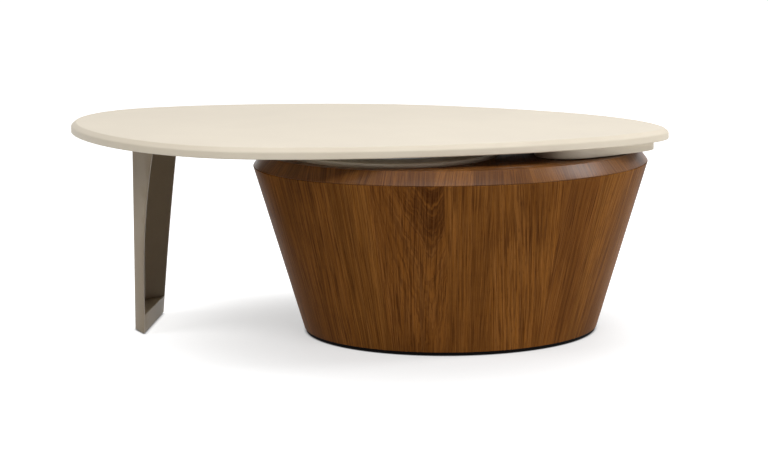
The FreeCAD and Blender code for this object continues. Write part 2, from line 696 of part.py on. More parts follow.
def leg_screw_places():
    places = []
    for along in (LEG_SCREW_INSET, LEG_TOP_NEAR_DEPTH - LEG_SCREW_FRONT_INSET):
        for across in (-LEG_SCREW_ACROSS, LEG_SCREW_ACROSS):
            x = LEG_X + along
            places.append(FreeCAD.Vector(x, LEG_MIDDLE_Y + across, UNDERSIDE_Z - LEG_PLATE_THICKNESS))
    return places


def leg_top_plate():
    plate = leg_slab(UNDERSIDE_Z - LEG_PLATE_THICKNESS, LEG_PLATE_THICKNESS, LEG_SHEET + WELD_GAP)
    hole = MACHINE_SCREW_SHANK + 2 * FIT
    height = LEG_PLATE_THICKNESS + 2 * OVERRUN
    return plate.cut([cylinder(hole, height, place - UP * OVERRUN) for place in leg_screw_places()])


def leg_screws():
    screws = []
    for place in leg_screw_places():
        head = cylinder(MACHINE_SCREW_HEAD, MACHINE_SCREW_HEAD_HEIGHT, place - UP * MACHINE_SCREW_HEAD_HEIGHT)
        shank = cylinder(MACHINE_SCREW_SHANK, LEG_PLATE_THICKNESS + TOP_BITE, place)
        screws.append(head.fuse(shank).removeSplitter())
    return screws


def leg_inserts():
    inserts = []
    for place in leg_screw_places():
        base = place + UP * LEG_PLATE_THICKNESS
        inserts.append(ring(INSERT_DIAMETER / 2, MACHINE_SCREW_SHANK / 2 + FIT, TOP_BITE, base))
    return inserts


# Top panel

def top_outline(z):
    return smooth_loop([FreeCAD.Vector(along * TOP_LENGTH, across * TOP_WIDTH, z)
                        for along, across in TOP_OUTLINE_SHARES])


def top_panel():
    body = prism(top_outline(UNDERSIDE_Z), TOP_THICKNESS)
    body = body.makeChamfer(TOP_BEVEL_RISE, TOP_BEVEL_RUN, edges_at(body, TABLE_HEIGHT))
    body = body.makeChamfer(TOP_UNDER_BEVEL, edges_at(body, UNDERSIDE_Z))
    cuts = small_screw_holes(upper_screw_places(), UP, UPPER_SCREW_LENGTH)
    cuts += small_screw_holes(flange_screw_places(), UP, FLANGE_SCREW_LENGTH)
    cuts += block_screw_holes()
    for place in leg_screw_places():
        base = place + UP * (LEG_PLATE_THICKNESS - OVERRUN)
        cuts.append(cylinder(INSERT_DIAMETER + 2 * FIT, TOP_BITE + OVERRUN + FIT, base))
    return body.cut(cuts)


# Nodes

nodes = {
    "drum_wall": placed_with_drum(drum_wall()),
    "drum_rim": placed_with_drum(drum_rim()),
    "drum_deck": placed_with_drum(drum_deck()),
    "drum_floor": placed_with_drum(drum_floor()),
    "plinth": placed_with_drum(plinth()),
    "pivot_block": placed_with_drum(pivot_block()),
    "rim_dowels": placed_with_drum(group(dowels())),
    "deck_screws": placed_with_drum(group(frame_screws(deck_screw_places(), DECK_SCREW_LENGTH))),
    "plinth_screws": placed_with_drum(group(frame_screws(base_places(0), PLINTH_SCREW_LENGTH))),
    "disc_screws": placed_with_drum(group(disc_screws())),
    "base_glides": placed_with_drum(group(base_glides())),
    "swivel_disc": swivel_disc(),
    "lower_race": lower_race(),
    "lower_race_screws": group(small_screws(lower_screw_places(), DOWN, LOWER_SCREW_LENGTH)),
    "pivot_bush": pivot_bush(),
    "slip_washer": slip_washer(),
    "stop_studs": group(stop_studs()),
    "ball_cage": ball_cage(),
    "bearing_balls": group(bearing_balls()),
    "top_panel": top_panel(),
    "upper_race": upper_race(),
    "upper_race_screws": group(small_screws(upper_screw_places(), UP, UPPER_SCREW_LENGTH)),
    "pivot_spindle": pivot_spindle(),
    "spindle_screws": group(small_screws(flange_screw_places(), UP, FLANGE_SCREW_LENGTH)),
    "spindle_washer": spindle_washer(),
    "lock_nut": lock_nut(),
    "support_block": support_block(),
    "block_screws": group(block_screws()),
    "block_felts": group(block_felts()),
    "leg_shell": leg_shell(),
    "leg_foot": leg_foot(),
    "leg_base_plate": leg_base_plate(),
    "leg_top_plate": leg_top_plate(),
    "leg_screws": group(leg_screws()),
    "leg_inserts": group(leg_inserts()),
    "leg_glides": group(leg_glides()),
}
for number, along in enumerate(rib_places(), 1):
    nodes[f"drum_rib_{number}"] = placed_with_drum(drum_rib(along))

os.makedirs("parts", exist_ok=True)
for name, shape in nodes.items():
    shape.exportStep(f"parts/{name}.step")
    box = shape.BoundBox
    print(f"{name}: {len(shape.Solids)} solids, valid {shape.isValid()}, {shape.Volume / 1000:.1f} cm3,"
          f" z {box.ZMin:.1f} to {box.ZMax:.1f}")
print(f"swivel axis at {PIVOT_X:.3f}, {PIVOT_Y:.3f}")
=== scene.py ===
# %% [markdown]
# # A swivel coffee table
# The table has an egg-shaped lacquered top that turns on a tapered oval drum and takes a folded metal leg
# along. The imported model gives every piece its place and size. Blender gives the pieces their softened edges
# and finishes. It could all be modelled by hand in the viewport, but a script can be read, changed and run
# again.

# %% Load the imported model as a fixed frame
import json
import math

import bmesh
import bpy
from mathutils import Matrix, Vector


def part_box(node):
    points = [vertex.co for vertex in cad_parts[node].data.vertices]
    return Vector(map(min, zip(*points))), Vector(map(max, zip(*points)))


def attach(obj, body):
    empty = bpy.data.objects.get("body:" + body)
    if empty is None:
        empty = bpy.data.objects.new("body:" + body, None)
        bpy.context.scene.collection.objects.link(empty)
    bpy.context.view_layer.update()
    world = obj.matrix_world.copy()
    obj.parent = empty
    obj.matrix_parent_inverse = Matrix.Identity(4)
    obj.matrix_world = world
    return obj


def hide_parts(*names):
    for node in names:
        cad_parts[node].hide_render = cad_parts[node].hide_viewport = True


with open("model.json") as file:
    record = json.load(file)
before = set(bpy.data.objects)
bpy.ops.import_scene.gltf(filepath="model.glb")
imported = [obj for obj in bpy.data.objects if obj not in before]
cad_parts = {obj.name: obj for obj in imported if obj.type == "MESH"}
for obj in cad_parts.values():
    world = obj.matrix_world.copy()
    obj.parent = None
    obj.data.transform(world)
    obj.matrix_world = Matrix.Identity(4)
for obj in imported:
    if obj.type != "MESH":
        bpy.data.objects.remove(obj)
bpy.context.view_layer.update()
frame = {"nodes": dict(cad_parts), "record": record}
scene = bpy.context.scene
print("pieces in the frame:", len(frame["nodes"]))

# %% [markdown]
# ## The camera
# The photograph was taken from a few metres away with a long lens, a little above the table top.
# The camera could be found by eye. Here its place was worked out from the drum's ovals, which fix its height
# and tilt, and the tilt was then trimmed until the edges of top and drum fell on the photograph's.

# %% Camera at the photograph's place
CAMERA_PLACE = (0.2962, -4.9553, 1.06665)
CAMERA_SWING = math.radians(3)
CAMERA_TILT = math.radians(9.952)
CAMERA_LENS = 117.14
SENSOR_WIDTH = 36

camera_data = bpy.data.cameras.new("photo_camera")
camera_data.lens = CAMERA_LENS
camera_data.sensor_width = SENSOR_WIDTH
camera = bpy.data.objects.new("photo_camera", camera_data)
camera.location = CAMERA_PLACE
camera.rotation_euler = (math.pi / 2 - CAMERA_TILT, 0, CAMERA_SWING)
scene.collection.objects.link(camera)
scene.camera = camera
print("camera", CAMERA_LENS, "mm at", CAMERA_PLACE)

# %% [markdown]
# ## Wiring helpers for node trees
# Materials and Geometry Nodes are both trees of nodes, and long lists of node calls are hard to read.
# One helper makes a node, sets it and plugs in its inputs, so each finish below reads like a recipe.

# %% Helpers that put a node into a tree
MIX_SHARE = 0
MIX_FIRST = 6
MIX_SECOND = 7
MIX_RESULT = 2


def put(tree, kind, inputs=None, **settings):
    """Adds a node, sets its options, and fills its inputs with values or with other nodes' outputs."""
    made = tree.nodes.new(kind)
    for option, value in settings.items():
        setattr(made, option, value)
    for place, value in (inputs or {}).items():
        if isinstance(value, bpy.types.NodeSocket):
            tree.links.new(value, made.inputs[place])
        else:
            made.inputs[place].default_value = value
    return made


def sum_of(tree, operation, first, second=0.0, third=0.0):
    """One step of arithmetic on numbers or sockets."""
    return put(tree, "ShaderNodeMath", {0: first, 1: second, 2: third}, operation=operation).outputs[0]


def blend_colours(tree, share, first, second):
    """Two colours mixed by a share, given as colours or sockets."""
    places = {MIX_SHARE: share, MIX_FIRST: first, MIX_SECOND: second}
    return put(tree, "ShaderNodeMix", places, data_type="RGBA").outputs[MIX_RESULT]


def spread(tree, value, low, high, to_low=0.0, to_high=1.0):
    """Stretches a range of values over another range, cut off at both ends."""
    places = {"Value": value, "From Min": low, "From Max": high, "To Min": to_low, "To Max": to_high}
    return put(tree, "ShaderNodeMapRange", places).outputs[0]


print("wiring helpers ready")

# %% Helpers for finishes
UNSCALED = 1.0


def grain_noise(tree, where, scale, detail=2.0, roughness=0.5):
    """A cloudy pattern, from 0 to 1, of about so many lumps to the metre."""
    places = {"Vector": where, "Scale": scale, "Detail": detail, "Roughness": roughness}
    return put(tree, "ShaderNodeTexNoise", places).outputs[0]


def stretched_noise(tree, where, scales, detail, roughness):
    """A cloudy pattern with its own number of lumps to the metre along each axis."""
    spot = put(tree, "ShaderNodeMapping", {"Vector": where, "Scale": scales}).outputs[0]
    return grain_noise(tree, spot, UNSCALED, detail, roughness)


def blank_finish(name, **sockets):
    """A material with one Principled shader, whose fixed values are set on its own sockets."""
    finish = bpy.data.materials.new(name)
    finish.use_nodes = True
    shader = finish.node_tree.nodes["Principled BSDF"]
    for socket, value in sockets.items():
        shader.inputs[socket.replace("_", " ")].default_value = value
    return finish, finish.node_tree, shader


def raise_surface(tree, shader, height, depth, strength):
    """A small relief of a given depth in metres."""
    bump = put(tree, "ShaderNodeBump", {"Height": height, "Distance": depth, "Strength": strength})
    tree.links.new(bump.outputs[0], shader.inputs["Normal"])


print("finish helpers ready")

# %% [markdown]
# ## Floor and background
# The photograph is a studio shot on a white floor that runs into a white background, with a soft shadow.
# A floor lit until it burns out would light the table too much. So the floor is pale for the light that
# bounces off it, and where the camera or a reflection sees it, it is a greyer floor that glows up to white.
# The glow is weaker around the table, which paints a soft shadow there, and it fades where something
# stands on the floor, which paints a contact shadow. The lamps' own shadow stays on the floor too.

# %% White background
ROOM_GREY = (0.03, 0.03, 0.0305, 1)
WHITE = (1, 1, 1, 1)


def seen_directly(tree):
    """1 for rays from the camera, from reflections and through glass, 0 for light that falls on things."""
    path = put(tree, "ShaderNodeLightPath").outputs
    either = sum_of(tree, "MAXIMUM", path["Is Camera Ray"], path["Is Glossy Ray"])
    return sum_of(tree, "MAXIMUM", either, path["Is Transmission Ray"])


room = bpy.data.worlds.new("white_room")
room.use_nodes = True
room_tree = room.node_tree
room_tone = blend_colours(room_tree, seen_directly(room_tree), ROOM_GREY, WHITE)
room_tree.links.new(room_tone, room_tree.nodes["Background"].inputs["Color"])
scene.world = room
scene.view_settings.view_transform = "Standard"
print("background", room.name)

# %% Finish of the floor
FLOOR_PALE = (0.76, 0.76, 0.75, 1)
FLOOR_GREY = (0.46, 0.46, 0.46, 1)
PAINTED_SHADOW_BLACK = (0, 0, 0, 1)
FLOOR_ROUGH = 0.6
FLOOR_GLOSS = 0.05
# NEAR_GLOW is the glow inside the painted shadow around the table, FAR_GLOW the glow beyond it.
NEAR_GLOW = 0.48
FAR_GLOW = 1.0
SHADE_MIDDLE = (0.1, -0.12, 0)
SHADE_NEAR = 0.2
SHADE_FAR = 0.62
SHADE_CURVE = 2
# Reach and depth of the painted contact shadow where something stands on the floor.
CONTACT_REACH = 0.006
CONTACT_DEPTH = 1.2

floor_finish, floor_tree, floor_shader = blank_finish(
    "floor_white", Roughness=FLOOR_ROUGH, Specular_IOR_Level=FLOOR_GLOSS)
floor_shader.inputs["Emission Color"].default_value = WHITE
floor_spot = put(floor_tree, "ShaderNodeTexCoord").outputs["Object"]
# Painted shadow: the glow falls from FAR_GLOW to NEAR_GLOW towards SHADE_MIDDLE, beside the drum.
apart = put(floor_tree, "ShaderNodeVectorMath", {0: floor_spot, 1: SHADE_MIDDLE}, operation="DISTANCE")
apart_share = spread(floor_tree, apart.outputs["Value"], SHADE_NEAR, SHADE_FAR)
away_share = sum_of(floor_tree, "POWER", apart_share, SHADE_CURVE)
glow_with_painted_shade = spread(floor_tree, away_share, 0, 1, NEAR_GLOW, FAR_GLOW)
# Painted contact shadow: ambient occlusion dims the floor's glow and blackens its grey next to whatever stands
# on it.
contact = put(floor_tree, "ShaderNodeAmbientOcclusion", {"Distance": CONTACT_REACH})
contact_shade = sum_of(floor_tree, "POWER", contact.outputs["AO"], CONTACT_DEPTH)
floor_glow = sum_of(floor_tree, "MULTIPLY", glow_with_painted_shade, contact_shade)
floor_seen = seen_directly(floor_tree)
seen_glow = sum_of(floor_tree, "MULTIPLY", floor_seen, floor_glow)
grey_with_painted_contact_shadow = blend_colours(floor_tree, contact_shade, PAINTED_SHADOW_BLACK, FLOOR_GREY)
floor_tone = blend_colours(floor_tree, floor_seen, FLOOR_PALE, grey_with_painted_contact_shadow)
floor_tree.links.new(floor_tone, floor_shader.inputs["Base Color"])
floor_tree.links.new(seen_glow, floor_shader.inputs["Emission Strength"])
print("made", floor_finish.name)

# %% Floor
FLOOR_SIZE = 24.0

floor_mesh = bpy.data.meshes.new("floor")
floor_shape = bmesh.new()
bmesh.ops.create_grid(floor_shape, x_segments=1, y_segments=1, size=FLOOR_SIZE / 2)
floor_shape.to_mesh(floor_mesh)
floor_shape.free()
floor_mesh.materials.append(floor_finish)
floor = bpy.data.objects.new("floor", floor_mesh)
scene.collection.objects.link(floor)
print("floor", FLOOR_SIZE, "m across")

# %% [markdown]
# ## Soft lamps
# The photograph has broad, soft light. The lamps stand above, in front and at both sides, with a weak one at
# the back and a low one at the right that brightens that side of the drum. A sun or a point lamp would throw
# hard shadows, so every lamp is a flat panel that faces the table.

# %% Soft lamps round the table
LAMPS = {
    "overhead_softbox": {"place": (0.1, -0.2, 3.4), "width": 3.0, "height": 3.0, "watts": 29},
    "front_softbox": {"place": (0.504, -2.344, 2.81), "width": 3.6, "height": 0.8, "watts": 56},
    "left_softbox": {"place": (-2.6, -1.2, 2.7), "width": 1.5, "height": 1.5, "watts": 37},
    "right_softbox": {"place": (3.23, 0.4, 2.85), "width": 1.0, "height": 1.0, "watts": 58},
    "right_panel": {"place": (3.0, -1.6, 0.16), "width": 1.4, "height": 0.28, "watts": 17},
    "back_softbox": {"place": (0.5, 2.6, 2.6), "width": 1.8, "height": 1.4, "watts": 13},
}
LAMP_TARGET = Vector((0.05, 0, 0.25))

for lamp_name, lamp in LAMPS.items():
    lamp_data = bpy.data.lights.new(lamp_name, "AREA")
    lamp_data.shape = "RECTANGLE"
    lamp_data.size = lamp["width"]
    lamp_data.size_y = lamp["height"]
    lamp_data.energy = lamp["watts"]
    lamp_object = bpy.data.objects.new(lamp_name, lamp_data)
    lamp_object.location = lamp["place"]
    toward = LAMP_TARGET - lamp_object.location
    lamp_object.rotation_euler = toward.to_track_quat("-Z", "Y").to_euler()
    scene.collection.objects.link(lamp_object)
    print(lamp_name, lamp["watts"], "W")

# %% [markdown]
# ## Cream lacquer
# The top, the sliding block and the swivel's disc are sprayed board: smooth, satin and warm cream.
# A plain colour looks like plastic, so the tone drifts a little over hand-sized patches and the surface
# keeps the very fine ripple that sprayed lacquer dries with.

# %% Cream lacquer finish
NOISE_CORE = (0.3, 0.7)
NOISE_MOST = (0.2, 0.8)
CREAM_TONE = (0.70, 0.622, 0.5, 1)
CREAM_LIGHT = (0.74, 0.664, 0.54, 1)
CREAM_SPECK = (0.62, 0.55, 0.44, 1)
CREAM_GLOSS = 0.35
CREAM_ROUGH = (0.42, 0.5)
PATCH_SCALE = 6.0
PATCH_DETAIL = 3.0
SPECK_SCALE = 900.0
SPECK_DETAIL = 1.0
SPECK_SHARE = 0.05
RIPPLE_SCALE = 420.0
RIPPLE_DETAIL = 1.5
RIPPLE_DEPTH = 0.00006
RIPPLE_STRENGTH = 0.5


def cream_lacquer():
    """Satin cream with a slow drift of tone, faint specks and a fine ripple."""
    finish, tree, shader = blank_finish("cream_lacquer_finish", Specular_IOR_Level=CREAM_GLOSS)
    where = put(tree, "ShaderNodeTexCoord").outputs["Object"]
    drift = grain_noise(tree, where, PATCH_SCALE, PATCH_DETAIL)
    speck = grain_noise(tree, where, SPECK_SCALE, SPECK_DETAIL)
    ripple = grain_noise(tree, where, RIPPLE_SCALE, RIPPLE_DETAIL)
    tone = blend_colours(tree, spread(tree, drift, *NOISE_CORE), CREAM_TONE, CREAM_LIGHT)
    speck_share = spread(tree, speck, *NOISE_MOST, 0, SPECK_SHARE)
    tree.links.new(blend_colours(tree, speck_share, tone, CREAM_SPECK), shader.inputs["Base Color"])
    tree.links.new(spread(tree, drift, *NOISE_MOST, *CREAM_ROUGH), shader.inputs["Roughness"])
    raise_surface(tree, shader, ripple, RIPPLE_DEPTH, RIPPLE_STRENGTH)
    return finish


CREAM = cream_lacquer()
print("made", CREAM.name)

# %% [markdown]
# ## The egg-shaped top
# The top is a board with a free, egg-shaped outline and a soft bevel all round its upper edge.
# It could be an extruded curve with a bevel modifier. Here the outline is read from the frame, smoothed, and
# stacked in rings that follow the edge's section, so the board stays where the frame has it.

# %% Outline of the top, read from the frame
OUTLINE_STEPS = 384
CURVE_STEPS = 8
LEVEL_TOLERANCE = 0.00005
SPOT_DIGITS = 6
TOP_BEVEL_RISE = 0.008
TOP_BEVEL_RUN = 0.009
TOP_UNDER_BEVEL = 0.0015


def points_at(node, height):
    """Places of a node's corners at one height, without repeats."""
    corners = [corner.co for corner in frame["nodes"][node].data.vertices]
    level = [spot for spot in corners if abs(spot.z - height) < LEVEL_TOLERANCE]
    rounded = {(round(spot.x, SPOT_DIGITS), round(spot.y, SPOT_DIGITS)) for spot in level}
    return [Vector(spot) for spot in rounded]


def catmull_rom(before, start, end, after, share):
    """A point on the smooth curve that passes through start and end."""
    bend = (2 * before - 5 * start + 4 * end - after) * share ** 2
    twist = (3 * start - before - 3 * end + after) * share ** 3
    return (2 * start + (end - before) * share + bend + twist) / 2


def smooth_outline(spots, count):
    """A closed smooth curve through the spots, cut into equal steps, anticlockwise."""
    middle = sum(spots, Vector((0, 0))) / len(spots)
    ring = sorted(spots, key=lambda spot: math.atan2(spot.y - middle.y, spot.x - middle.x))
    size = len(ring)
    fine = []
    for place in range(size):
        four = [ring[(place + step) % size] for step in (-1, 0, 1, 2)]
        fine += [catmull_rom(*four, share / CURVE_STEPS) for share in range(CURVE_STEPS)]
    lengths = [(fine[(place + 1) % len(fine)] - spot).length for place, spot in enumerate(fine)]
    step_length = sum(lengths) / count
    even, travelled, wanted = [], 0.0, 0.0
    for place, length in enumerate(lengths):
        while wanted < travelled + length and len(even) < count:
            share = (wanted - travelled) / length
            even.append(fine[place].lerp(fine[(place + 1) % len(fine)], share))
            wanted += step_length
        travelled += length
    return even


def outward_normals(outline):
    """Directions square to a closed anticlockwise outline."""
    normals = []
    for place in range(len(outline)):
        along = outline[(place + 1) % len(outline)] - outline[place - 1]
        normals.append(Vector((along.y, -along.x)).normalized())
    return normals


top_low, top_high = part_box("top_panel")
egg = smooth_outline(points_at("top_panel", top_high.z - TOP_BEVEL_RISE), OUTLINE_STEPS)
egg_normals = outward_normals(egg)
print("outline of the top:", len(egg), "steps")

# %% The top's edge section, with softened corners
BEVEL_SOFTNESS = 0.0055
ARRIS = 0.0006
ARC_STEPS = 6
FLAT_MARGIN = 0.004


def soften(corners, radii, closed=False):
    """A section with an arc of its own radius at each corner; open sections keep their two ends."""
    softened = []
    for place, corner in enumerate(corners):
        ends = not closed and place in (0, len(corners) - 1)
        if ends or not radii[place]:
            softened.append(corner)
            continue
        back = (corners[place - 1] - corner).normalized()
        ahead = (corners[(place + 1) % len(corners)] - corner).normalized()
        half = back.angle(ahead) / 2
        reach = radii[place] / math.tan(half)
        centre = corner + (back + ahead).normalized() * radii[place] / math.sin(half)
        start = corner + back * reach - centre
        end = corner + ahead * reach - centre
        for step in range(ARC_STEPS + 1):
            softened.append(centre + start.slerp(end, step / ARC_STEPS).normalized() * radii[place])
    return softened


edge_corners = [
    Vector((TOP_UNDER_BEVEL + FLAT_MARGIN, top_low.z)),
    Vector((TOP_UNDER_BEVEL, top_low.z)),
    Vector((0, top_low.z + TOP_UNDER_BEVEL)),
    Vector((0, top_high.z - TOP_BEVEL_RISE)),
    Vector((TOP_BEVEL_RUN, top_high.z)),
    Vector((TOP_BEVEL_RUN + BEVEL_SOFTNESS + FLAT_MARGIN, top_high.z)),
]
edge_section = soften(edge_corners, [0, ARRIS, ARRIS, BEVEL_SOFTNESS, BEVEL_SOFTNESS, 0])
print("edge section:", len(edge_section), "rings")

# %% The top as a stack of rings
SHARP_EDGE = math.radians(40)


def finished_piece(name, mesh, finish, body, node):
    """A piece at the origin that rides on a body, stands for a node and takes the given finish."""
    mesh.materials.clear()
    mesh.materials.append(finish)
    mesh.shade_smooth()
    mesh.set_sharp_from_angle(angle=SHARP_EDGE)
    piece = bpy.data.objects.new(name, mesh)
    scene.collection.objects.link(piece)
    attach(piece, body)
    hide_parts(node)
    print(name, "has", len(mesh.polygons), "faces")


def stack_rings(outline, normals, section):
    """A closed board: one ring of the outline for each point of the section, with a face over each end."""
    shape = bmesh.new()
    rings = []
    for point in section:
        places = [spot - normal * point.x for spot, normal in zip(outline, normals)]
        rings.append([shape.verts.new((place.x, place.y, point.y)) for place in places])
    for lower, upper in zip(rings, rings[1:]):
        for place in range(len(outline)):
            after = (place + 1) % len(outline)
            shape.faces.new((lower[place], lower[after], upper[after], upper[place]))
    shape.faces.new(list(reversed(rings[0])))
    shape.faces.new(rings[-1])
    mesh = bpy.data.meshes.new("board")
    shape.to_mesh(mesh)
    shape.free()
    return mesh


egg_mesh = stack_rings(egg, egg_normals, edge_section)
finished_piece("egg_top", egg_mesh, CREAM, "top", "top_panel")

# %% [markdown]
# ## Walnut-coloured veneer
# The drum is covered with leaves of veneer that taper with it, so the grain fans out from the floor to the
# rim. An image would repeat and blur, so the grain is worked out from how a tree grows: each leaf is a slice
# through a cone of year rings, nearly straight at the side of the log and a row of nested points through its
# middle.

# %% Leaves of veneer
VENEER_MAP = "veneer"
LEAF_UNEVENNESS_SHARE = 0.12
LEAF_MIDDLE_SHARE = 0.5


def leaves(tree, along, width, start_share):
    """The number of the leaf at a place along the drum, and the distance from that leaf's middle."""
    place = sum_of(tree, "MULTIPLY_ADD", along, 1 / width, start_share)
    swing = sum_of(tree, "COSINE", sum_of(tree, "MULTIPLY", place, math.pi))
    uneven = sum_of(tree, "MULTIPLY_ADD", swing, LEAF_UNEVENNESS_SHARE, place)
    leaf = sum_of(tree, "FLOOR", uneven)
    inside = sum_of(tree, "SUBTRACT", sum_of(tree, "SUBTRACT", uneven, leaf), LEAF_MIDDLE_SHARE)
    return leaf, sum_of(tree, "MULTIPLY", inside, width)


print("edges of the leaves shift by", LEAF_UNEVENNESS_SHARE, "of a leaf")

# %% Year rings in a leaf
HEART_EVERY = 5
HEART_TURN = 2
TURN_TOLERANCE = 0.5
HEART_ASIDE = 0.02
HEART_OPENING = 3.2
HEART_SHARPNESS = 1.45
HEART_NARROWING = 0.5
HEART_JAG = 0.009
HEART_WIDTH = 0.045
HEART_LOW = 0.16
HEART_HIGH = 0.29
WANDER_REACH = 0.012


def year_rings(tree, straight, height, leaf, wander, jag):
    """Rings of the log as the leaf cuts them, and how near a place is to the dark points of a heart leaf."""
    turn = sum_of(tree, "FLOORED_MODULO", leaf, HEART_EVERY)
    heart_leaf = sum_of(tree, "COMPARE", turn, HEART_TURN, TURN_TOLERANCE)
    swayed = sum_of(tree, "MULTIPLY_ADD", wander, WANDER_REACH, straight)
    aside = sum_of(tree, "ABSOLUTE", sum_of(tree, "SUBTRACT", swayed, HEART_ASIDE))
    side = sum_of(tree, "POWER", aside, HEART_SHARPNESS)
    drop = sum_of(tree, "MULTIPLY", sum_of(tree, "POWER", height, 2), -HEART_NARROWING)
    pointed = sum_of(tree, "MULTIPLY_ADD", side, HEART_OPENING, drop)
    nested = sum_of(tree, "MULTIPLY_ADD", jag, HEART_JAG, pointed)
    close = sum_of(tree, "MULTIPLY", spread(tree, aside, 0, HEART_WIDTH, 1, 0), heart_leaf)
    heart = sum_of(tree, "MULTIPLY", close, spread(tree, height, HEART_LOW, HEART_HIGH))
    return spread(tree, heart_leaf, 0, 1, swayed, nested), heart


print("a heart leaf every", HEART_EVERY, "leaves")

# %% Patterns in the veneer
GRAIN = {
    "wander": {"scales": (12, 5, 1), "detail": 3.0, "roughness": 0.6},
    "jag": {"scales": (90, 30, 1), "detail": 2.0, "roughness": 0.6},
    "season": {"scales": (150, 1.4, 1), "detail": 2.0, "roughness": 0.55},
    "line": {"scales": (170, 1.1, 5), "detail": 1.0, "roughness": 0.5},
    "dash": {"scales": (540, 11, 1), "detail": 1.0, "roughness": 0.5},
    "fibre": {"scales": (1100, 14, 1), "detail": 2.0, "roughness": 0.65},
    "pore": {"scales": (1500, 60, 1), "detail": 1.0, "roughness": 0.5},
    "cloud": {"scales": (14, 3, 1), "detail": 2.0, "roughness": 0.5},
}
LEAF_TAG_STEP = 3.7


def veneer_patterns(tree, leaf_width, leaf_start, slant_reach, seed):
    """Every pattern of the veneer, and three chance numbers for each leaf."""
    where = put(tree, "ShaderNodeUVMap", uv_map=VENEER_MAP).outputs[0]
    along, height, _ = put(tree, "ShaderNodeSeparateXYZ", {0: where}).outputs
    leaf, across = leaves(tree, along, leaf_width, leaf_start)
    seeded = sum_of(tree, "ADD", leaf, seed)
    draw = put(tree, "ShaderNodeTexWhiteNoise", {"W": seeded}, noise_dimensions="1D")
    chance = put(tree, "ShaderNodeSeparateXYZ", {0: draw.outputs["Color"]}).outputs
    slant = spread(tree, chance[0], 0, 1, -slant_reach, slant_reach)
    straight = sum_of(tree, "MULTIPLY_ADD", slant, height, across)
    leaf_tag = sum_of(tree, "MULTIPLY", leaf, LEAF_TAG_STEP)
    leaf_spot = put(tree, "ShaderNodeCombineXYZ", {0: straight, 1: height, 2: leaf_tag}).outputs[0]
    wander = stretched_noise(tree, leaf_spot, **GRAIN["wander"])
    jag = stretched_noise(tree, leaf_spot, **GRAIN["jag"])
    ring, heart = year_rings(tree, straight, height, leaf, wander, jag)
    ring_spot = put(tree, "ShaderNodeCombineXYZ", {0: ring, 1: height, 2: leaf_tag}).outputs[0]
    patterns = {"heart": heart}
    for kind in ("season", "line"):
        patterns[kind] = stretched_noise(tree, ring_spot, **GRAIN[kind])
    for kind in ("dash", "fibre", "pore", "cloud"):
        patterns[kind] = stretched_noise(tree, leaf_spot, **GRAIN[kind])
    return patterns, chance


print("patterns in the veneer:", ", ".join(GRAIN))

# %% Veneer finish
NOISE_CENTRE = 0.5
PALE_RANGE = (0.48, 0.34)
PALE_SHARE = 0.25
BAND_STARTS = (0.52, 0.47)
BAND_FULLS = (0.66, 0.55)
BAND_SHARES = (0.3, 0.95)
LINE_WIDTH = 0.08
LINE_SHARES = (0.48, 0.95)
DASH_RANGE = (0.53, 0.62)
DASH_SHARE = 0.68
FIBRE_RANGE = (0.42, 0.75)
FIBRE_SHARE = 0.45
CLOUD_RANGE = (0.4, 0.7)
CLOUD_SHARE = 0.36
PORE_RANGE = (0.6, 0.72)
PORE_SHARE = 0.5
LEAF_HUES = (0.4985, 0.5015)
LEAF_BRIGHTNESS = (0.9, 1.1)
GRAIN_DEPTH = 0.00008
GRAIN_STRENGTH = 0.35


def thin_lines(tree, pattern, width):
    """Lines along the places where a pattern crosses its middle value."""
    away = sum_of(tree, "ABSOLUTE", sum_of(tree, "SUBTRACT", pattern, NOISE_CENTRE))
    return spread(tree, away, 0, width, 1, 0)


